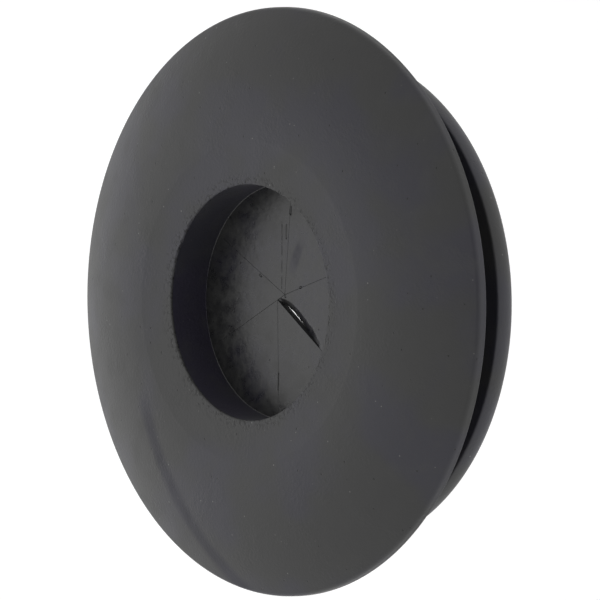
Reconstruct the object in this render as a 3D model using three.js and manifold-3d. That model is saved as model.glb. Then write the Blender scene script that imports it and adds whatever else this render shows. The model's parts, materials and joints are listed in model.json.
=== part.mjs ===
// A moulded rubber desk grommet: a domed front flange over a flat sealing rim, a round cable pocket
// whose floor is a membrane slit into six flaps, and a neck that ends in a smaller rear flange.
// Millimetres, +Z out of the desk. The origin is the centre of the desk's hole, in the plane of the
// desk's surface, which is the plane that the sealing rim's underside rests on.

import * as THREE from "three";
import { mergeVertices } from "three/addons/utils/BufferGeometryUtils.js";
import Module from "manifold-3d";

const wasm = await Module();
wasm.setup();

// Front flange
const FLANGE_RADIUS = 40;
const RIM_THICKNESS = 1.5;
const RIM_LEDGE = 0.3; // flat left on top of the rim, outside the dome
const RIM_EASE = 0.2; // eased lower corner of the rim
const FACE_HEIGHT = 7.4; // top of the flat land above the desk's surface
const FACE_THICKNESS = 2.6;
const LAND_WIDTH = 6.3; // flat land around the pocket's mouth
const DOME_START_DEG = 4; // how steeply the dome leaves the land

// Cable pocket and its membrane
const POCKET_RADIUS = 16;
const POCKET_DEPTH = 6.4;
const POCKET_WALL = 2.5;
const MEMBRANE_THICKNESS = 1;

// Flaps between the slits
const FLAP_COUNT = 6;
const SLIT_MARGIN = 1.3; // uncut membrane between a slit's end and the pocket's wall
const SLIT_WIDTH = 0.3;
const FIRST_SLIT_DEG = 24;
const ROOT_CLEARANCE = 0.25; // between a flap's round root and the uncut margin

// Neck and rear flange
const NECK_RADIUS = 30;
const NECK_WALL = 3;
const GROOVE_WIDTH = 7.9; // room for the desk's panel between the two flanges
const REAR_LIP = 3.6; // how far the rear flange stands out from the neck
const REAR_THICKNESS = 4.1;
const REAR_ROUND = 3; // lead-in round on the rear flange's outer edge
const REAR_ROUND_CREST = 1.1; // from the rear flange's front face to its widest line

// Fineness of the round faces
const TURN_STEPS = 60;
const DOME_STEPS = 9;
const ROUND_STEPS = 8;

// Sizes that follow from the ones above
const landRadius = POCKET_RADIUS + LAND_WIDTH;
const domeFoot = FLANGE_RADIUS - RIM_LEDGE;
const pocketOuter = POCKET_RADIUS + POCKET_WALL;
const neckBore = NECK_RADIUS - NECK_WALL;
const faceUnderside = FACE_HEIGHT - FACE_THICKNESS;
const membraneTop = FACE_HEIGHT - POCKET_DEPTH;
const membraneMiddle = membraneTop - MEMBRANE_THICKNESS / 2;
const flapAngle = (2 * Math.PI) / FLAP_COUNT;
const slitReach = POCKET_RADIUS - SLIT_MARGIN;
const hingeDistance = slitReach * Math.cos(flapAngle / 2);
const rearFront = -GROOVE_WIDTH;
const rearBack = rearFront - REAR_THICKNESS;

const flangeRubber = new THREE.MeshStandardMaterial({ color: 0x2c2c2d, roughness: 0.55, metalness: 0 });
const membraneRubber = new THREE.MeshStandardMaterial({ color: 0x303031, roughness: 0.6, metalness: 0 });

const grommet = new THREE.Group();

// Adds a sub-part to the group under its own name.
function addPart(name, geometry, material) {
  const mesh = new THREE.Mesh(geometry, material);
  mesh.name = name;
  grommet.add(mesh);
  return mesh;
}

// Turns a closed outline of [radius, height] points about the grommet's axis. The outline runs
// anticlockwise with the radius to the right and the height up.
function turned(outline) {
  const points = [...outline, outline[0]].map(([radius, height]) => new THREE.Vector2(radius, height));
  const geometry = new THREE.LatheGeometry(points, TURN_STEPS);
  return geometry.rotateX(Math.PI / 2);
}

// Points on an arc of [radius, height], from one angle to another, both ends included.
function arcPoints(centreRadius, centreHeight, arcRadius, fromAngle, toAngle, steps) {
  const points = [];
  for (let step = 0; step <= steps; step += 1) {
    const angle = fromAngle + ((toAngle - fromAngle) * step) / steps;
    points.push([centreRadius + arcRadius * Math.cos(angle), centreHeight + arcRadius * Math.sin(angle)]);
  }
  return points;
}

// A geometry as a solid that can be joined and cut.
function solidFrom(geometry) {
  const bare = geometry.clone();
  bare.deleteAttribute("normal");
  bare.deleteAttribute("uv");
  const merged = mergeVertices(bare, 1e-4);
  return new wasm.Manifold(
    new wasm.Mesh({
      numProp: 3,
      vertProperties: merged.attributes.position.array,
      triVerts: new Uint32Array(merged.index.array),
    }),
  );
}

// A solid back as a geometry.
function geometryFrom(solid) {
  const mesh = solid.getMesh();
  const geometry = new THREE.BufferGeometry();
  geometry.setAttribute("position", new THREE.BufferAttribute(new Float32Array(mesh.vertProperties), 3));
  geometry.setIndex(new THREE.BufferAttribute(new Uint32Array(mesh.triVerts), 1));
  geometry.computeVertexNormals();
  return geometry;
}

// Front flange: a flat land, then a dome that grows steeper down to the rim. Its inner edge is
// mitred, so that the pocket's wall starts at the mouth's edge.
function frontFlange() {
  const run = domeFoot - landRadius;
  const drop = FACE_HEIGHT - RIM_THICKNESS;
  const startSlope = THREE.MathUtils.degToRad(DOME_START_DEG);
  const meanSlope = Math.atan2(drop, run);
  const endSlope = 2 * meanSlope - startSlope;
  const domeRadius = Math.hypot(run, drop) / (2 * Math.sin(meanSlope - startSlope));
  const centreRadius = landRadius - domeRadius * Math.sin(startSlope);
  const centreHeight = FACE_HEIGHT - domeRadius * Math.cos(startSlope);
  const fromAngle = Math.PI / 2 - endSlope;
  const toAngle = Math.PI / 2 - startSlope;
  const dome = arcPoints(centreRadius, centreHeight, domeRadius, fromAngle, toAngle, DOME_STEPS);
  return turned([
    ...dome,
    [POCKET_RADIUS, FACE_HEIGHT],
    [pocketOuter, faceUnderside],
    [neckBore, faceUnderside],
    [neckBore, RIM_THICKNESS],
  ]);
}

// Sealing rim: the flat ring under the dome and around the neck, whose underside rests on the desk.
function sealingRim() {
  return turned([
    [NECK_RADIUS, 0],
    [FLANGE_RADIUS - RIM_EASE, 0],
    [FLANGE_RADIUS, RIM_EASE],
    [FLANGE_RADIUS, RIM_THICKNESS],
    [NECK_RADIUS, RIM_THICKNESS],
  ]);
}

// Pocket wall: from the mitre at the mouth's edge down to the membrane.
function pocketWall() {
  return turned([
    [POCKET_RADIUS, membraneTop],
    [pocketOuter, membraneTop],
    [pocketOuter, faceUnderside],
    [POCKET_RADIUS, FACE_HEIGHT],
  ]);
}

// Membrane margin: the uncut ring of the membrane, with a straight side behind each flap's root.
function membraneMargin() {
  const disc = new THREE.Shape().absarc(0, 0, pocketOuter, 0, 2 * Math.PI);
  const sideDistance = hingeDistance + MEMBRANE_THICKNESS / 2 + ROOT_CLEARANCE;
  const cornerRadius = sideDistance / Math.cos(flapAngle / 2);
  const corners = [];
  for (let index = 0; index < FLAP_COUNT; index += 1) {
    const angle = THREE.MathUtils.degToRad(FIRST_SLIT_DEG) + index * flapAngle;
    corners.push(new THREE.Vector2(cornerRadius * Math.cos(angle), cornerRadius * Math.sin(angle)));
  }
  disc.holes.push(new THREE.Path(corners));
  const settings = { depth: MEMBRANE_THICKNESS, bevelEnabled: false, curveSegments: TURN_STEPS };
  const geometry = new THREE.ExtrudeGeometry(disc, settings);
  return geometry.translate(0, 0, membraneTop - MEMBRANE_THICKNESS);
}

// Neck: the sleeve from the dome's underside, through the desk's hole, to the back. The sealing rim
// and the rear flange are rings around it.
function neckSleeve() {
  return turned([
    [neckBore, rearBack],
    [NECK_RADIUS, rearBack],
    [NECK_RADIUS, RIM_THICKNESS],
    [neckBore, RIM_THICKNESS],
  ]);
}

// Rear flange: flat in front, with a lead-in round behind so that it pushes through the hole.
function rearFlange() {
  const crestHeight = rearFront - REAR_ROUND_CREST;
  const roundCentre = NECK_RADIUS + REAR_LIP - REAR_ROUND;
  const frontAngle = Math.asin(REAR_ROUND_CREST / REAR_ROUND);
  const backAngle = -Math.asin(Math.min(1, (REAR_THICKNESS - REAR_ROUND_CREST) / REAR_ROUND));
  const edge = arcPoints(roundCentre, crestHeight, REAR_ROUND, backAngle, frontAngle, ROUND_STEPS);
  return turned([[NECK_RADIUS, rearBack], ...edge, [NECK_RADIUS, rearFront]]);
}

// One flap, pointing along +X: a plate whose root is half round about its bending line, cut to the
// wedge between two slits. The root's corners are narrowed so that they clear the next flap.
function flap() {
  const halfThickness = MEMBRANE_THICKNESS / 2;
  const section = new THREE.Shape();
  section.moveTo(0, membraneMiddle - halfThickness);
  section.lineTo(hingeDistance, membraneMiddle - halfThickness);
  section.absarc(hingeDistance, membraneMiddle, halfThickness, -Math.PI / 2, Math.PI / 2);
  section.lineTo(0, membraneMiddle + halfThickness);
  section.closePath();
  const width = 2 * slitReach;
  const settings = { depth: width, bevelEnabled: false, curveSegments: ROUND_STEPS };
  const plate = new THREE.ExtrudeGeometry(section, settings);
  plate.rotateX(Math.PI / 2);
  plate.translate(0, width / 2, 0);

  const slope = Math.tan(flapAngle / 2);
  const sideInset = SLIT_WIDTH / 2 / Math.cos(flapAngle / 2);
  const tip = SLIT_WIDTH / 2 / Math.sin(flapAngle / 2);
  const rootStart = hingeDistance - halfThickness;
  const rootEnd = hingeDistance + 2 * halfThickness;
  const rootHalfWidth = rootStart * slope - sideInset;
  const wedgeOutline = new THREE.Shape([
    new THREE.Vector2(tip, 0),
    new THREE.Vector2(rootStart, -rootHalfWidth),
    new THREE.Vector2(rootEnd, -rootHalfWidth),
    new THREE.Vector2(rootEnd, rootHalfWidth),
    new THREE.Vector2(rootStart, rootHalfWidth),
  ]);
  const wedgeHeight = 4 * MEMBRANE_THICKNESS;
  const wedge = new THREE.ExtrudeGeometry(wedgeOutline, { depth: wedgeHeight, bevelEnabled: false });
  wedge.translate(0, 0, membraneMiddle - wedgeHeight / 2);
  return geometryFrom(solidFrom(plate).intersect(solidFrom(wedge)));
}

addPart("front_flange", frontFlange(), flangeRubber);
addPart("sealing_rim", sealingRim(), flangeRubber);
addPart("pocket_wall", pocketWall(), flangeRubber);
addPart("membrane_margin", membraneMargin(), membraneRubber);
addPart("neck_sleeve", neckSleeve(), flangeRubber);
addPart("rear_flange", rearFlange(), flangeRubber);

const flapGeometry = flap();
for (let index = 0; index < FLAP_COUNT; index += 1) {
  const mesh = addPart(`flap_${index + 1}`, flapGeometry, membraneRubber);
  mesh.rotation.z = THREE.MathUtils.degToRad(FIRST_SLIT_DEG) + (index + 0.5) * flapAngle;
}

export default grommet;
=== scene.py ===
import json
import math

import bpy
from mathutils import Matrix, Vector

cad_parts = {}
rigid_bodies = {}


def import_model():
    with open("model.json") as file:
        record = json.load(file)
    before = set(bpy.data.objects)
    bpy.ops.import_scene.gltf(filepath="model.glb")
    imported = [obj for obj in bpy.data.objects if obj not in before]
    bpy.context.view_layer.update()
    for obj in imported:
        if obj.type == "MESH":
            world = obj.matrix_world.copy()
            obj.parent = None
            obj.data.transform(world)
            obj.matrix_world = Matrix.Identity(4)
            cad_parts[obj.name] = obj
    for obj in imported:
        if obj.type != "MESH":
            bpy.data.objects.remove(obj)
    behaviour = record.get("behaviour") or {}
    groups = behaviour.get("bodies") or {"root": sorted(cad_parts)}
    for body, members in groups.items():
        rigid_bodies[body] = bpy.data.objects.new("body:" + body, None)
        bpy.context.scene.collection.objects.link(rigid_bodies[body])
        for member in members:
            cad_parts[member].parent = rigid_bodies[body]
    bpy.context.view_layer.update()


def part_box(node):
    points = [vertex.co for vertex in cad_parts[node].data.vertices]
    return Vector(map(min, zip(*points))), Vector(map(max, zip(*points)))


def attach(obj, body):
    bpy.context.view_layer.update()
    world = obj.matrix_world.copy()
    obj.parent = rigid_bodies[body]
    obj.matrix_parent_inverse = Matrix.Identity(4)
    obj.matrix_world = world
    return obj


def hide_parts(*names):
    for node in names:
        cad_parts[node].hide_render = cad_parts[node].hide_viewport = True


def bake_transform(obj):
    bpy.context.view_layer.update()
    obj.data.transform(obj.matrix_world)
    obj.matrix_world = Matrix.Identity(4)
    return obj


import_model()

# The looks of a moulded rubber desk grommet, in metres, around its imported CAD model. +Z points out
# of the desk and the origin is the centre of the desk's hole, in the plane of its surface.

MM = 0.001

# Sizes that the CAD model gives: each zone's box has a low and a high corner
DOME_FOOT, _, FACE_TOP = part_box("front_flange")[1]
FLANGE_RADIUS, _, RIM_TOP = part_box("sealing_rim")[1]
POCKET_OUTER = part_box("pocket_wall")[1].x
membrane_low, membrane_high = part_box("membrane_margin")
MEMBRANE_TOP = membrane_high.z
MEMBRANE_THICKNESS = membrane_high.z - membrane_low.z
neck_low, neck_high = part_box("neck_sleeve")
NECK_RADIUS = neck_high.x
BACK = neck_low.z
REAR_RADIUS, _, REAR_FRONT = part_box("rear_flange")[1]

# Face: a flat land round the mouth, then a dome down to a rounded rim
POCKET_RADIUS = 16 * MM
LAND_WIDTH = 6.3 * MM
FACE_THICKNESS = 2.6 * MM
DOME_START = math.radians(4)
LAND_STEP = 0.027 * MM
LAND_STEP_WIDTH = 0.3 * MM
RIM_ROUND = 0.9 * MM
RIM_ROUND_STEPS = 14
RIM_EASE = 0.12 * MM
RIM_TONGUE = 1.3 * MM
MOUTH_ROUND = 0.2 * MM
MOUTH_LIP = 0.3 * MM
MOUTH_SHAKE = 0.03 * MM
# The stretch of the mouth's edge where the moulding flash was torn off, between two angles
TORN_START, TORN_END = 136, 160
TORN_SHAKE = 0.13 * MM

# Pocket, neck and back
LINING_BEAD = 0.055 * MM
NECK_WALL = 3 * MM
REAR_ROUND = 3 * MM
REAR_CREST = 1.1 * MM
FRONT_EDGE_ROUND = 0.35 * MM
WELL_FILLET = 0.9 * MM
BORE_ROUND = 0.5 * MM

# Membrane: three slits meet at one crossing and three at another beside it
SLIT_REACH = 15 * MM
UPPER_CROSSING = Vector((0, 0.95 * MM, 0))
LOWER_CROSSING = Vector((-1.47 * MM, 0.21 * MM, 0))
HALF_KERF = 0.007 * MM
LEAF_CUTS = 48
SLIT_CHAMFER = 0.03 * MM
# The open slit: how far along it the leaf was pushed, how far down, how far aside, and how widely
OPEN_SLIT_PUSHES = (
    (0.03, 0.16 * MM, 0.03 * MM, 0.7 * MM),
    (0.08, 0.54 * MM, 0.13 * MM, 1.1 * MM),
    (0.14, 0.6 * MM, 0.14 * MM, 1.5 * MM),
    (0.2, 0.58 * MM, 0.09 * MM, 1.6 * MM),
    (0.26, 0.56 * MM, 0.06 * MM, 1.6 * MM),
    (0.32, 0.56 * MM, 0.04 * MM, 1.6 * MM),
    (0.39, 0.48 * MM, 0.01 * MM, 1.6 * MM),
    (0.46, 0.42 * MM, 0, 1.5 * MM),
    (0.53, 0.3 * MM, 0, 1.3 * MM),
    (0.59, 0.2 * MM, 0, 1.0 * MM),
    (0.64, 0.1 * MM, 0, 0.8 * MM),
)
# The middle of each flap's root, in degrees
FLAP_DIRECTIONS = [54 + 60 * flap for flap in range(6)]

# How finely the rounds are divided
TURN_STEPS = 240
DOME_STEPS = 44
ARC_STEP = math.radians(9)
MOUTH_ARC_STEP = math.radians(18)
EASE_ARC_STEP = math.radians(22.5)
BEAD_ARC_STEP = math.radians(30)
BORE_ARC_STEP = math.radians(15)
REAR_ARC_STEP = math.radians(4)
CORNER_ARC_STEP = math.radians(12)

# How near its ends a straight is held, how near two vertices become one, how exactly a cut picks
# its side, and the steepest edge that is shaded smooth
HOLD = 0.12 * MM
WELD = 0.003 * MM
CUT_TOLERANCE = 0.0001 * MM
SMOOTH_ANGLE = math.radians(32)


# ---------------------------------------------------------------- modelling tools


def select_nothing():
    """Nothing is selected, so that the next operator acts on its own piece only."""
    for other in bpy.context.view_layer.objects:
        other.select_set(False)


def work_on(piece):
    """The piece alone is selected and active."""
    select_nothing()
    piece.select_set(True)
    bpy.context.view_layer.objects.active = piece


def edit_picked(piece):
    """Opens the piece in edit mode, with what was picked on it."""
    work_on(piece)
    bpy.ops.object.mode_set(mode="EDIT")


def edit(piece):
    """Opens the piece in edit mode, with all of it selected."""
    edit_picked(piece)
    bpy.ops.mesh.select_all(action="SELECT")


def leave_edit():
    bpy.ops.object.mode_set(mode="OBJECT")


def place_in_mesh(piece, name):
    """The piece keeps its place, but its object sits at the origin, unturned and unscaled."""
    work_on(piece)
    piece.name = name
    piece.data.name = name
    bpy.ops.object.transform_apply(location=True, rotation=True, scale=True)


def pick_vertices(piece, wanted):
    """Selects the vertices whose place passes the test, from object mode."""
    for part in (piece.data.vertices, piece.data.edges, piece.data.polygons):
        part.foreach_set("select", [False] * len(part))
    for vertex in piece.data.vertices:
        vertex.select = wanted(vertex.co)


def finish_mesh(piece):
    """Doubles are merged, faces turned outwards and the shading smoothed over its rounds."""
    edit(piece)
    bpy.ops.mesh.remove_doubles(threshold=WELD)
    bpy.ops.mesh.normals_make_consistent(inside=False)
    leave_edit()
    bpy.ops.object.shade_smooth_by_angle(angle=SMOOTH_ANGLE)


def arc(centre, radius, start, end, step=ARC_STEP):
    """Points of [radius, height] along an arc between two angles in degrees, both ends included.
    They are at most one step apart, in radians."""
    start, end = math.radians(start), math.radians(end)
    steps = max(2, math.ceil(abs(end - start) / step))
    angles = [start + (end - start) * index / steps for index in range(steps + 1)]
    return [(centre[0] + radius * math.cos(a), centre[1] + radius * math.sin(a)) for a in angles]


def held(outline):
    """The outline with a holding point near each end of its long straights, which keeps them flat."""
    points = []
    for (r0, z0), (r1, z1) in zip(outline, outline[1:] + outline[:1]):
        points.append((r0, z0))
        length = math.hypot(r1 - r0, z1 - z0)
        if length > 4 * HOLD:
            near = HOLD / length
            points.append((r0 + (r1 - r0) * near, z0 + (z1 - z0) * near))
            points.append((r1 - (r1 - r0) * near, z1 - (z1 - z0) * near))
    return points


def turned(name, outline):
    """A round piece. A ring is drawn at the outline's first point, then extruded and scaled from
    point to point until it is back where it began."""
    outline = held(outline)
    radius, height = outline[0]
    select_nothing()
    bpy.ops.mesh.primitive_circle_add(vertices=TURN_STEPS, radius=radius, location=(0, 0, height))
    piece = bpy.context.object
    place_in_mesh(piece, name)
    edit(piece)
    for next_radius, next_height in outline[1:] + outline[:1]:
        rise = (0, 0, next_height - height)
        bpy.ops.mesh.extrude_edges_move(TRANSFORM_OT_translate={"value": rise})
        growth = next_radius / radius
        bpy.ops.transform.resize(value=(growth, growth, 1), center_override=(0, 0, 0))
        radius, height = next_radius, next_height
    leave_edit()
    finish_mesh(piece)
    return piece


# ---------------------------------------------------------------- round pieces


def dome_points():
    """The dome's arc from the land's edge outwards and then the rim's round, with the height at
    which the rim's round ends."""
    land_edge, top = POCKET_RADIUS + LAND_WIDTH, FACE_TOP - LAND_STEP
    run, drop = DOME_FOOT - land_edge, top - RIM_TOP
    mean_slope = math.atan2(drop, run)
    radius = math.hypot(run, drop) / (2 * math.sin(mean_slope - DOME_START))
    centre = (land_edge - radius * math.sin(DOME_START), top - radius * math.cos(DOME_START))
    # The rim's round touches the dome from inside and stands upright at the flange's full radius.
    round_centre_radius = FLANGE_RADIUS - RIM_ROUND
    reach = radius - RIM_ROUND
    round_centre_height = centre[1] + math.sqrt(reach**2 - (round_centre_radius - centre[0]) ** 2)
    meet = math.degrees(math.atan2(round_centre_height - centre[1], round_centre_radius - centre[0]))
    leave = 90 - math.degrees(DOME_START)
    dome = arc(centre, radius, leave, meet, math.radians((leave - meet) / DOME_STEPS))
    round_centre = (round_centre_radius, round_centre_height)
    rim_round = arc(round_centre, RIM_ROUND, meet, 0, math.radians(meet) / RIM_ROUND_STEPS)
    return dome + rim_round[1:], round_centre_height


def make_face():
    """The face: mouth edge, land, dome and the rim's round, open underneath over the neck's bore.
    It comes with the height at which the rim's round ends."""
    dome, band_top = dome_points()
    land_edge = POCKET_RADIUS + LAND_WIDTH
    mouth_centre = (POCKET_RADIUS + MOUTH_ROUND, FACE_TOP - MOUTH_ROUND)
    bore = NECK_RADIUS - NECK_WALL
    under = FACE_TOP - FACE_THICKNESS
    outer_fillet = arc((bore - WELL_FILLET, under - WELL_FILLET), WELL_FILLET, 90, 0)
    inner_fillet = arc((POCKET_OUTER + WELL_FILLET, under - WELL_FILLET), WELL_FILLET, 180, 90)
    outline = [
        *arc(mouth_centre, MOUTH_ROUND, 180, 90, MOUTH_ARC_STEP),
        (land_edge - LAND_STEP_WIDTH, FACE_TOP),
        *dome,
        (FLANGE_RADIUS - RIM_TONGUE, band_top),
        (FLANGE_RADIUS - RIM_TONGUE, RIM_TOP),
        (bore, RIM_TOP),
        *reversed(outer_fillet),
        *reversed(inner_fillet),
        (POCKET_OUTER, FACE_TOP - MOUTH_LIP),
        (POCKET_RADIUS, FACE_TOP - MOUTH_LIP),
    ]
    piece = turned("domed_face", outline)
    roughen(piece, is_mouth_edge, MOUTH_SHAKE, 1)
    roughen(piece, lambda place: is_mouth_edge(place) and is_torn(place), TORN_SHAKE, 2)
    return piece, band_top


def is_mouth_edge(place):
    """Whether a place is on the mouth's round, short of where it meets the land."""
    near = POCKET_RADIUS + 0.9 * MOUTH_ROUND
    return place.z > FACE_TOP - 1.2 * MOUTH_ROUND and math.hypot(place.x, place.y) < near


def is_torn(place):
    """Whether a place lies in the direction where the moulding flash was torn off."""
    return TORN_START < math.degrees(math.atan2(place.y, place.x)) < TORN_END


def roughen(piece, wanted, amount, seed):
    """Shakes the vertices whose place passes the test, by up to an amount."""
    pick_vertices(piece, wanted)
    edit_picked(piece)
    bpy.ops.transform.vertex_random(offset=amount, seed=seed)
    leave_edit()


def make_rim(band_top):
    """The sealing rim: an upright band and a flat underside that rests on the desk."""
    ease_centre = (FLANGE_RADIUS - RIM_EASE, RIM_EASE)
    outline = [
        (NECK_RADIUS, 0),
        *arc(ease_centre, RIM_EASE, -90, 0, EASE_ARC_STEP),
        (FLANGE_RADIUS, band_top),
        (FLANGE_RADIUS - RIM_TONGUE, band_top),
        (FLANGE_RADIUS - RIM_TONGUE, RIM_TOP),
        (NECK_RADIUS, RIM_TOP),
    ]
    return turned("rim_band", outline)


def make_lining():
    """The pocket's wall, with a hair of flash standing in the corner above the membrane."""
    top = FACE_TOP - MOUTH_LIP
    bead_centre = (POCKET_RADIUS, MEMBRANE_TOP + LINING_BEAD)
    outline = [
        *arc(bead_centre, LINING_BEAD, 90, 270, BEAD_ARC_STEP),
        (POCKET_OUTER, MEMBRANE_TOP),
        (POCKET_OUTER, top),
        (POCKET_RADIUS, top),
    ]
    return turned("pocket_lining", outline)


def make_neck():
    """The neck: the sleeve that passes through the desk's hole."""
    bore = NECK_RADIUS - NECK_WALL
    outline = [
        (bore, RIM_TOP),
        *arc((bore + BORE_ROUND, BACK + BORE_ROUND), BORE_ROUND, 180, 270, BORE_ARC_STEP),
        (NECK_RADIUS, BACK),
        (NECK_RADIUS, RIM_TOP),
    ]
    return turned("neck_tube", outline)


def make_rear_ring():
    """The rear flange: nearly flat in front, with a lead-in round behind."""
    centre = (REAR_RADIUS - REAR_ROUND, REAR_FRONT - REAR_CREST)
    small = FRONT_EDGE_ROUND
    # The small round at the front corner sits inside the lead-in round.
    small_height = REAR_FRONT - small
    small_radius = centre[0] + math.sqrt((REAR_ROUND - small) ** 2 - (small_height - centre[1]) ** 2)
    meet = math.degrees(math.atan2(small_height - centre[1], small_radius - centre[0]))
    outline = [
        (NECK_RADIUS, BACK),
        *arc(centre, REAR_ROUND, -90, meet, REAR_ARC_STEP),
        *arc((small_radius, small_height), small, meet, 90, CORNER_ARC_STEP)[1:],
        (NECK_RADIUS, REAR_FRONT),
    ]
    return turned("rear_ring", outline)


# ---------------------------------------------------------------- membrane


def around(angle, distance=SLIT_REACH):
    """The point at an angle in degrees and a distance from the grommet's axis."""
    turn = math.radians(angle)
    return Vector((distance * math.cos(turn), distance * math.sin(turn), 0))


# Each slit runs from a crossing to its outer end. They were cut by hand, so the angles differ.
SLITS = [
    (UPPER_CROSSING, around(20.5)),
    (UPPER_CROSSING, around(85)),
    (UPPER_CROSSING, around(146.6)),
    (UPPER_CROSSING, around(203.5)),
    (LOWER_CROSSING, around(265.6)),
    (LOWER_CROSSING, around(320.6)),
]
# This slit starts at the upper crossing and passes through the lower one.
THROUGH_SLIT = SLITS[3]


def cut_line(piece, start, end, clearance):
    """Trims the sheet along a line and drops what lies on the line's right, with some clearance."""
    along = (end - start).normalized()
    right = Vector((along.y, -along.x, 0))
    edit(piece)
    bpy.ops.mesh.bisect(
        plane_co=start - right * clearance, plane_no=right, clear_outer=True, threshold=CUT_TOLERANCE
    )
    leave_edit()


def soften_edges(piece, lines, height, amount):
    """Rounds the edges that run along any of the upright planes through the lines, at one height."""
    places = [vertex.co for vertex in piece.data.vertices]
    pick_vertices(piece, lambda place: False)
    for edge in piece.data.edges:
        ends = [places[index] for index in edge.vertices]
        level = all(abs(end.z - height) < WELD for end in ends)
        edge.select = level and any(all(is_beside(end, line) for end in ends) for line in lines)
    edit_picked(piece)
    bpy.ops.mesh.select_mode(type="EDGE")
    bpy.ops.mesh.bevel(offset=amount, segments=2, affect="EDGES")
    bpy.ops.mesh.select_mode(type="VERT")
    leave_edit()


def is_beside(place, line):
    """Whether a place is on a slit's wall: half the kerf away from the line between two points."""
    start, end = line
    along = (end - start).normalized()
    return abs((place - start).cross(along).z) < HALF_KERF + WELD


def thicken(piece):
    """The sheet's top stays in place and its thickness goes down."""
    work_on(piece)
    wall = piece.modifiers.new("thickness", "SOLIDIFY")
    wall.thickness = MEMBRANE_THICKNESS
    wall.offset = -1
    bpy.ops.object.modifier_apply(modifier=wall.name)


def push(piece, place, move, reach):
    """Moves the edge above and below a place, and what lies round it, fading to nothing."""
    aside = [math.hypot(v.co.x - place.x, v.co.y - place.y) for v in piece.data.vertices]
    limit = min(aside) + 2 * SLIT_CHAMFER
    pick_vertices(piece, lambda co: math.hypot(co.x - place.x, co.y - place.y) < limit)
    edit_picked(piece)
    bpy.ops.transform.translate(
        value=move,
        use_proportional_edit=True,
        proportional_edit_falloff="SMOOTH",
        proportional_size=reach,
    )
    leave_edit()


def open_slit(piece, slit):
    """Pushes the leaf's edge down along its slit, which then stands open."""
    start, end = slit
    aside = (end - start).normalized().cross(Vector((0, 0, -1)))
    for share, sink, apart, reach in OPEN_SLIT_PUSHES:
        place = start.lerp(end, share) + Vector((0, 0, MEMBRANE_TOP))
        push(piece, place, tuple(aside * apart - Vector((0, 0, sink))), reach)


def make_leaf(number):
    """One leaf of the membrane: a sheet trimmed to its two slits and its root, divided finely so
    that it can bend, thickened, and softened where the cutting tool went in."""
    right_slit, left_slit = SLITS[number - 1], SLITS[number % len(SLITS)]
    is_last = number == len(SLITS)
    select_nothing()
    bpy.ops.mesh.primitive_plane_add(size=4 * SLIT_REACH, location=(0, 0, MEMBRANE_TOP))
    piece = bpy.context.object
    place_in_mesh(piece, f"leaf_{number}")
    sides = [right_slit, (left_slit[1], left_slit[0])]
    if is_last:
        # The slit that passes through both crossings cuts off this leaf's tip.
        sides.append(THROUGH_SLIT)
    for start, end in sides:
        cut_line(piece, start, end, HALF_KERF)
    cut_line(piece, right_slit[1], left_slit[1], 0)
    edit(piece)
    bpy.ops.mesh.subdivide(number_cuts=LEAF_CUTS)
    leave_edit()
    thicken(piece)
    finish_mesh(piece)
    for height in (MEMBRANE_TOP, MEMBRANE_TOP - MEMBRANE_THICKNESS):
        soften_edges(piece, sides, height, SLIT_CHAMFER)
    if is_last:
        open_slit(piece, right_slit)
    finish_mesh(piece)
    return piece


def make_membrane_ring():
    """The uncut ring of the membrane: a disc whose six straight inner sides are the leaves' roots."""
    sectors = []
    for number in range(len(SLITS)):
        select_nothing()
        bpy.ops.mesh.primitive_circle_add(
            vertices=TURN_STEPS, radius=POCKET_OUTER, fill_type="NGON", location=(0, 0, MEMBRANE_TOP)
        )
        sector = bpy.context.object
        place_in_mesh(sector, f"sector_{number}")
        first, second = SLITS[number][1], SLITS[(number + 1) % len(SLITS)][1]
        origin = Vector((0, 0, 0))
        cut_line(sector, origin, first, 0)
        cut_line(sector, second, origin, 0)
        cut_line(sector, second, first, 0)
        sectors.append(sector)
    select_nothing()
    for sector in sectors:
        sector.select_set(True)
    bpy.context.view_layer.objects.active = sectors[0]
    bpy.ops.object.join()
    piece = sectors[0]
    place_in_mesh(piece, "membrane_ring")
    finish_mesh(piece)
    thicken(piece)
    finish_mesh(piece)
    return piece


# ---------------------------------------------------------------- finishes


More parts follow.
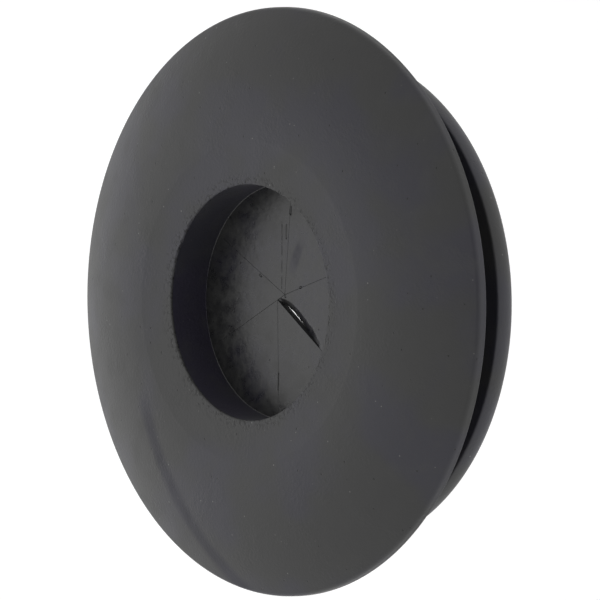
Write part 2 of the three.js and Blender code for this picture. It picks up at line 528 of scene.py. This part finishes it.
class Socket:
    """A value in a finish. Sums on it add Math nodes, and node() adds any other node."""

    def __init__(self, tree, output=None):
        self.tree = tree
        self.output = output

    def node(self, kind, settings=None, inputs=None, output=0):
        """Adds a node: its settings are set first, then the values or links of its sockets."""
        made = self.tree.nodes.new(kind)
        for setting, value in (settings or {}).items():
            setattr(made, setting, value)
        for socket, value in (inputs or {}).items():
            if isinstance(value, Socket):
                self.tree.links.new(value.output, made.inputs[socket])
            else:
                made.inputs[socket].default_value = value
        return Socket(self.tree, made.outputs[output] if made.outputs else None)

    def math(self, operation, first, second):
        return self.node("ShaderNodeMath", {"operation": operation}, {0: first, 1: second})

    def __add__(self, other):
        return self.math("ADD", self, other)

    def __radd__(self, other):
        return self.math("ADD", other, self)

    def __sub__(self, other):
        return self.math("SUBTRACT", self, other)

    def __rsub__(self, other):
        return self.math("SUBTRACT", other, self)

    def __mul__(self, other):
        return self.math("MULTIPLY", self, other)

    def __rmul__(self, other):
        return self.math("MULTIPLY", other, self)

    def __pow__(self, other):
        return self.math("POWER", self, other)

    def __abs__(self):
        return self.math("ABSOLUTE", self, 0)

    def ease(self, low, high, start=0.0, end=1.0):
        """Goes smoothly from start to end as the value goes from low to high."""
        return self.node(
            "ShaderNodeMapRange",
            {"interpolation_type": "SMOOTHSTEP"},
            {"Value": self, "From Min": low, "From Max": high, "To Min": start, "To Max": end},
        )

    def noise(self, size, detail=2.0, seed=0.0):
        """Noise between 0 and 1 whose features are about this many metres across."""
        inputs = {"Vector": self.shift(seed), "Scale": 1 / size, "Detail": detail}
        return self.node("ShaderNodeTexNoise", {"noise_dimensions": "3D"}, inputs)

    def shift(self, distance):
        """The place moved by the same distance along all three axes."""
        offset = (distance, distance, distance)
        return self.node("ShaderNodeVectorMath", {"operation": "ADD"}, {0: self, 1: offset})

    def specks(self, spacing, radius, share, seed=0.0):
        """1 on small round specks that fall at random, for a share of the points of a lattice."""
        inputs = {"Vector": self.shift(seed), "Scale": 1 / spacing}
        near = self.node("ShaderNodeTexVoronoi", {"feature": "F1"}, inputs, "Distance")
        draw = self.node("ShaderNodeTexVoronoi", {"feature": "F1"}, inputs, "Color")
        chance = self.node("ShaderNodeSeparateColor", {}, {"Color": draw}, "Red")
        reach = radius / spacing
        return near.ease(0.5 * reach, reach, 1, 0) * chance.ease(1 - share, 1 - share + 0.002)

    def streak(self, start, end, width):
        """1 along a straight streak between two places on the piece, fading at its sides and ends."""
        start, end = Vector((*start, 0)), Vector((*end, 0))
        along = (end - start).normalized()
        middle, reach = (start + end) / 2, (end - start).length / 2
        from_middle = self.node("ShaderNodeVectorMath", {"operation": "SUBTRACT"}, {0: self, 1: middle})
        lengthwise = from_middle.dot(along)
        sideways = from_middle.dot(Vector((-along.y, along.x, 0)))
        ends = abs(lengthwise).ease(reach - width, reach, 1, 0)
        return abs(sideways).ease(0.2 * width, 0.5 * width, 1, 0) * ends

    def dot(self, direction):
        """How far the place lies along a direction."""
        inputs = {0: self, 1: tuple(direction)}
        return self.node("ShaderNodeVectorMath", {"operation": "DOT_PRODUCT"}, inputs, "Value")

    def from_axis(self, centre):
        """The distance from an upright axis through a point of [x, y]."""
        across = self.dot((1, 0, 0)) - centre[0]
        up = self.dot((0, 1, 0)) - centre[1]
        return (across * across + up * up) ** 0.5

    def tint(self, share, first, second):
        """A colour between two colours or colour sockets."""
        return self.node(
            "ShaderNodeMix", {"data_type": "RGBA"}, {0: share, 6: first, 7: second}, 2
        )


def new_finish(name):
    """A new, empty material and a socket that holds the place on the piece."""
    material = bpy.data.materials.new(name)
    material.use_nodes = True
    tree = material.node_tree
    tree.nodes.clear()
    place = Socket(tree).node("ShaderNodeTexCoord", output="Object")
    return material, place


def close_finish(place, colour, roughness, height):
    """Joins the colour, roughness and height to a shader and the material's output. The height is
    in units of the bump's depth."""
    bump = {"Strength": 1.0, "Distance": BUMP_DEPTH, "Height": height}
    relief = place.node("ShaderNodeBump", {}, bump)
    inputs = {"Base Color": colour, "Roughness": roughness, "Normal": relief, "IOR": RUBBER_IOR}
    inputs |= {"Sheen Weight": SHEEN, "Sheen Roughness": SHEEN_ROUGHNESS}
    shader = place.node("ShaderNodeBsdfPrincipled", {}, inputs)
    place.node("ShaderNodeOutputMaterial", {}, {"Surface": shader})


RUBBER_IOR = 1.5
RUBBER_ROUGHNESS = 0.5
MEMBRANE_ROUGHNESS = 0.235
SHEEN = 0.04
SHEEN_ROUGHNESS = 0.4
BUMP_DEPTH = 0.004 * MM

# Colours of the rubber, its bloom and its marks, and of painted shade, painted light and a painted
# highlight, each as red, green, blue and alpha
BLACK = (0.0240, 0.0240, 0.0238, 1)
MEMBRANE_BLACK = (0.0135, 0.0135, 0.0145, 1)
MEMBRANE_BLUE = (0.0125, 0.0120, 0.0190, 1)
BLUE_BLACK = (0.021, 0.0205, 0.029, 1)
# The pocket wall's darker, bluer black is painted shade for the deep pocket
PAINTED_SHADE_BLACK = (0.022, 0.0195, 0.034, 1)
# Light grey for the hair of flash in the pocket's corner: a painted highlight
FLASH_HIGHLIGHT = (0.085, 0.085, 0.085, 1)
# The neck's slightly lighter black is painted light that lifts the shade in the groove behind the rim
PAINTED_LIGHT_NECK_BLACK = (0.03, 0.03, 0.031, 1)
BLOOM_GREY = (0.036, 0.036, 0.035, 1)
DUST = (0.11, 0.11, 0.107, 1)
PIT = (0.002, 0.002, 0.002, 1)
DARK_STREAK = (0.012, 0.011, 0.022, 1)

# A darker, rougher arc on the dome, round a point of [x, y]
DARK_ARC_CENTRE = (28.6 * MM, -1.8 * MM)
DARK_ARC_RADIUS = 52 * MM
DARK_ARC_CORE = 0.3 * MM
DARK_ARC_WIDTH = 2.0 * MM
# The arc fades out between these places along Y and along X
DARK_ARC_FADE_Y = (-17 * MM, -11 * MM)
DARK_ARC_FADE_X = (-8 * MM, 0)

# Chips round the mouth thin out over this width, and the painted highlight on the flash fades over this
# height
CHIPS_WIDTH = 2.4 * MM
FLASH_HIGHLIGHT_FADE = 0.02 * MM

# Marks on the membrane: a second score beside one slit, nicks and a smear, left by the cutting tool,
# and among the nicks one painted shadow line, each with its two ends as [x, y] and its width
SCORE = ((-0.6 * MM, 1.6 * MM), (-0.6 * MM, 11 * MM), 0.22 * MM)
NICKS_AND_SHADOW_LINE = (
    ((0.3 * MM, 8.4 * MM), (0.3 * MM, 10.6 * MM), 0.28 * MM),
    # Painted shadow: this dark line by the upper crossing stands for the shade where the last leaf's
    # tip sits lower than its neighbour
    ((0.0 * MM, 0.95 * MM), (0.22 * MM, 0.42 * MM), 0.3 * MM),
    ((2.85 * MM, 1.9 * MM), (3.6 * MM, 2.1 * MM), 0.4 * MM),
    ((1.1 * MM, 11.6 * MM), (1.2 * MM, 13.2 * MM), 0.5 * MM),
    ((-9.3 * MM, 5.1 * MM), (-8.8 * MM, 5.1 * MM), 0.3 * MM),
    ((-5.3 * MM, 3.6 * MM), (-4.6 * MM, 3.2 * MM), 0.3 * MM),
    ((-1.2 * MM, -9.6 * MM), (-1.3 * MM, -12.2 * MM), 0.3 * MM),
)
SMEAR = ((3.7 * MM, 9.0 * MM), (0.9 * MM, 3.2 * MM), 2.2 * MM)
# All of these are on its upper side only, and fade in between these two heights
MARKS_FADE = (MEMBRANE_TOP - 0.6 * MM, MEMBRANE_TOP - 0.3 * MM)


def moulded_rubber(name, base=BLACK, with_mouth=False, with_flash_highlight=False):
    """Satin black rubber: cloudy bloom, a fine mould grain, and stray dust and pits. The face also has
    chips round its mouth and a darker, rougher arc, and the pocket a painted highlight along its line
    of flash."""
    material, place = new_finish(name)
    cloud = place.noise(13 * MM, 2, 0.31).ease(0.42, 0.62)
    bloom = place.noise(3.2 * MM, 3, 0.77).ease(0.45, 0.75)
    colour = place.tint(cloud, base, BLUE_BLACK)
    colour = place.tint(bloom * 0.35, colour, BLOOM_GREY)
    dusty = place.noise(15 * MM, 1, 0.12).ease(0.44, 0.58, 0.2, 1)
    dust = place.specks(0.9 * MM, 0.14 * MM, 0.08, 0.4) * dusty
    pits = place.specks(1.1 * MM, 0.16 * MM, 0.1, 0.9)
    grit = place.noise(0.45 * MM, 3, 0.6) * place.noise(7 * MM, 2, 0.8).ease(0.48, 0.66, 0.4, 1)
    grain = place.noise(0.22 * MM, 2)
    ripple = place.noise(6 * MM, 2, 0.5)
    height = grain * 3.0 + ripple * 9.0 + grit * 18.0 + dust * 3.0 - pits * 14.0
    rough = cloud * -0.03 + bloom * 0.05 + grain * 0.06 + RUBBER_ROUGHNESS
    if with_mouth:
        halo = place.from_axis((0, 0)).ease(POCKET_RADIUS, POCKET_RADIUS + CHIPS_WIDTH, 1, 0)
        chips = place.noise(0.5 * MM, 3, 0.2).ease(0.5, 0.66) * halo
        dark_arc = abs(place.from_axis(DARK_ARC_CENTRE) - DARK_ARC_RADIUS).ease(DARK_ARC_CORE, DARK_ARC_WIDTH, 1, 0)
        dark_arc = dark_arc * place.dot((0, 1, 0)).ease(*DARK_ARC_FADE_Y, 1, 0)
        dark_arc = dark_arc * place.dot((1, 0, 0)).ease(*DARK_ARC_FADE_X, 1, 0)
        colour = place.tint(chips * 0.8, colour, PIT)
        colour = place.tint(dark_arc * 0.7, colour, DARK_STREAK)
        rough = rough + dark_arc * 0.09
        height = height - chips * 16.0
    if with_flash_highlight:
        # Painted highlight: the hair of flash above the membrane is coloured light grey, weakest near
        # the X axis
        bead_top = MEMBRANE_TOP + 2 * LINING_BEAD
        flash = place.dot((0, 0, 1)).ease(bead_top, bead_top + FLASH_HIGHLIGHT_FADE, 1, 0)
        flash = flash * abs(place.dot((0, 1, 0))).ease(3 * MM, 10 * MM, 0.1, 1)
        colour = place.tint(flash, colour, FLASH_HIGHLIGHT)
    colour = place.tint(dust, colour, DUST)
    colour = place.tint(pits, colour, PIT)
    close_finish(place, colour, rough, height)
    return material


def membrane_finish(name):
    """Smoother rubber for the cut sheet: speckled, clouded with bloom, marked by the cutting, and with
    one painted shadow line.
    """
    material, place = new_finish(name)
    cloud = place.noise(9 * MM, 2, 0.11).ease(0.42, 0.62)
    bloom = place.noise(2.2 * MM, 3, 0.5).ease(0.42, 0.72)
    colour = place.tint(cloud, MEMBRANE_BLACK, MEMBRANE_BLUE)
    colour = place.tint(bloom * 0.5, colour, BLOOM_GREY)
    speckle = place.noise(0.9 * MM, 4, 0.3).ease(0.3, 0.75)
    colour = place.tint(speckle * 0.6, colour, BLOOM_GREY)
    on_top = place.dot((0, 0, 1)).ease(*MARKS_FADE)
    smear = place.streak(*SMEAR) * on_top
    colour = place.tint(smear * 0.8, colour, DARK_STREAK)
    pits = place.specks(1.0 * MM, 0.12 * MM, 0.06, 0.9)
    marks = place.streak(*SCORE) * place.noise(0.7 * MM, 1, 0.4).ease(0.4, 0.6, 0.1, 0.5)
    for dark_line in NICKS_AND_SHADOW_LINE:
        marks = marks + place.streak(*dark_line)
    pits = (pits + marks * on_top).ease(0, 1)
    colour = place.tint(pits, colour, PIT)
    grain = place.noise(0.2 * MM, 2)
    ripple = place.noise(5 * MM, 2, 0.9)
    rough = bloom * 0.08 + speckle * 0.09 + smear * 0.09 + grain * 0.06 + MEMBRANE_ROUGHNESS
    height = grain * 1.6 + ripple * 10.0 + speckle * 3.6 - pits * 24.0
    close_finish(place, colour, rough, height)
    return material


def paint(piece, material):
    """Gives the piece one material all over."""
    piece.data.materials.clear()
    piece.data.materials.append(material)


# ---------------------------------------------------------------- the object

flange_finish = moulded_rubber("flange_rubber_finish")
# The pocket's wall has a darker base as painted shade, and a painted highlight on its flash
wall_finish = moulded_rubber("pocket_rubber_finish", base=PAINTED_SHADE_BLACK, with_flash_highlight=True)
# The neck's lighter base is painted light for the shaded groove
neck_finish = moulded_rubber("neck_rubber_finish", base=PAINTED_LIGHT_NECK_BLACK)
face_finish = moulded_rubber("face_rubber_finish", with_mouth=True)
leaf_finish = membrane_finish("membrane_rubber_finish")

face, band_top = make_face()
rim = make_rim(band_top)
lining = make_lining()
neck = make_neck()
rear_ring = make_rear_ring()
membrane_ring = make_membrane_ring()

for piece, node, finish in (
    (face, "front_flange", face_finish),
    (rim, "sealing_rim", flange_finish),
    (lining, "pocket_wall", wall_finish),
    (neck, "neck_sleeve", neck_finish),
    (rear_ring, "rear_flange", flange_finish),
):
    paint(piece, finish)
    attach(piece, "grommet_body")
    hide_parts(node)

paint(membrane_ring, leaf_finish)
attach(membrane_ring, "grommet_body")
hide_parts("membrane_margin")

for number, direction in enumerate(FLAP_DIRECTIONS, 1):
    leaf = make_leaf(number)
    paint(leaf, leaf_finish)
    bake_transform(leaf)
    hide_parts(f"flap_{number}")


# ---------------------------------------------------------------- floor, light and camera

FLOOR_DROP = 0.12
FLOOR_SIZE = 12.0
FLOOR_WHITE = (0.85, 0.85, 0.85, 1)
FLOOR_ROUGHNESS = 0.9
FLOOR_GLOW = 0.32
WHITE = (1, 1, 1, 1)
select_nothing()
bpy.ops.mesh.primitive_plane_add(size=FLOOR_SIZE, location=(0, 0, BACK - FLOOR_DROP))
floor = bpy.context.object
floor.name = "studio_floor"
floor_material = bpy.data.materials.new("studio_floor_white")
floor_material.use_nodes = True
floor_shader = floor_material.node_tree.nodes["Principled BSDF"]
floor_shader.inputs["Base Color"].default_value = FLOOR_WHITE
floor_shader.inputs["Roughness"].default_value = FLOOR_ROUGHNESS
floor_shader.inputs["Emission Color"].default_value = WHITE
floor_shader.inputs["Emission Strength"].default_value = FLOOR_GLOW
paint(floor, floor_material)

# The camera looks down from +X in parallel projection, turned on its side so that +Y is up
CAMERA_AZIMUTH = math.radians(92.13)
CAMERA_ELEVATION = math.radians(41.72)
CAMERA_DISTANCE = 1.5
CAMERA_REACH = 50
CAMERA_LEAN = -0.0039
VIEW_WIDTH = 81.42 * MM
AIM_HEIGHT = 1.5 * MM
AIM_RIGHT = 2.445 * MM
AIM_UP = 0.236 * MM
toward_camera = Vector((
    math.sin(CAMERA_AZIMUTH) * math.cos(CAMERA_ELEVATION),
    -math.cos(CAMERA_AZIMUTH) * math.cos(CAMERA_ELEVATION),
    math.sin(CAMERA_ELEVATION),
))
view_right = Vector((CAMERA_LEAN, 1, 0)).cross(toward_camera).normalized()
view_up = toward_camera.cross(view_right)
aim = Vector((0, 0, AIM_HEIGHT)) + view_right * AIM_RIGHT + view_up * AIM_UP
camera_data = bpy.data.cameras.new("camera")
camera_data.type = "ORTHO"
camera_data.ortho_scale = VIEW_WIDTH
camera_data.clip_end = CAMERA_REACH
camera = bpy.data.objects.new("camera", camera_data)
bpy.context.scene.collection.objects.link(camera)
turn = Matrix((view_right, view_up, toward_camera)).transposed()
camera.matrix_world = Matrix.Translation(aim + toward_camera * CAMERA_DISTANCE) @ turn.to_4x4()
bpy.context.scene.camera = camera

# A tall soft light over the desk on the side away from the camera, which is the left of its view,
# in a pale studio that is dark round the camera
LIGHT_DIRECTION = Vector((-0.8, -0.05, 0.45)).normalized()
LIGHT_DISTANCE = 1.25
LIGHT_WIDTH, LIGHT_HEIGHT = 0.75, 2.0
LIGHT_RADIANCE = 0.54
light_data = bpy.data.lights.new("softbox", "AREA")
light_data.shape = "RECTANGLE"
light_data.size = LIGHT_WIDTH
light_data.size_y = LIGHT_HEIGHT
light_data.energy = LIGHT_RADIANCE * math.pi * LIGHT_WIDTH * LIGHT_HEIGHT
light = bpy.data.objects.new("softbox", light_data)
bpy.context.scene.collection.objects.link(light)
light.location = LIGHT_DIRECTION * LIGHT_DISTANCE
light.visible_camera = False
light.rotation_mode = "QUATERNION"
light.rotation_quaternion = LIGHT_DIRECTION.to_track_quat("Z", "Y")

# How the studio darkens: from bright to dark round the camera, and to a share of it towards +Y. Each
# fade runs between two cosines of the angle from that direction.
STUDIO_BRIGHT, STUDIO_DARK = 0.89, 0.1
DARK_FADE = (0.87, 0.985)
SIDE_FADE = (0.1, 0.8)
SIDE_SHARE = 0.8
world = bpy.data.worlds.new("studio")
bpy.context.scene.world = world
world.use_nodes = True
world.node_tree.nodes.clear()
heading = Socket(world.node_tree).node("ShaderNodeTexCoord", output="Generated")
facing = heading.node(
    "ShaderNodeVectorMath",
    {"operation": "DOT_PRODUCT"},
    {0: heading, 1: tuple(toward_camera)},
    "Value",
)
level = facing.ease(*DARK_FADE, STUDIO_BRIGHT, STUDIO_DARK)
level = level * heading.dot((0, 1, 0)).ease(*SIDE_FADE, 1, SIDE_SHARE)
background = heading.node("ShaderNodeBackground", {}, {"Color": WHITE, "Strength": level})
heading.node("ShaderNodeOutputWorld", {}, {"Surface": background})

bpy.context.scene.view_settings.view_transform = "Standard"
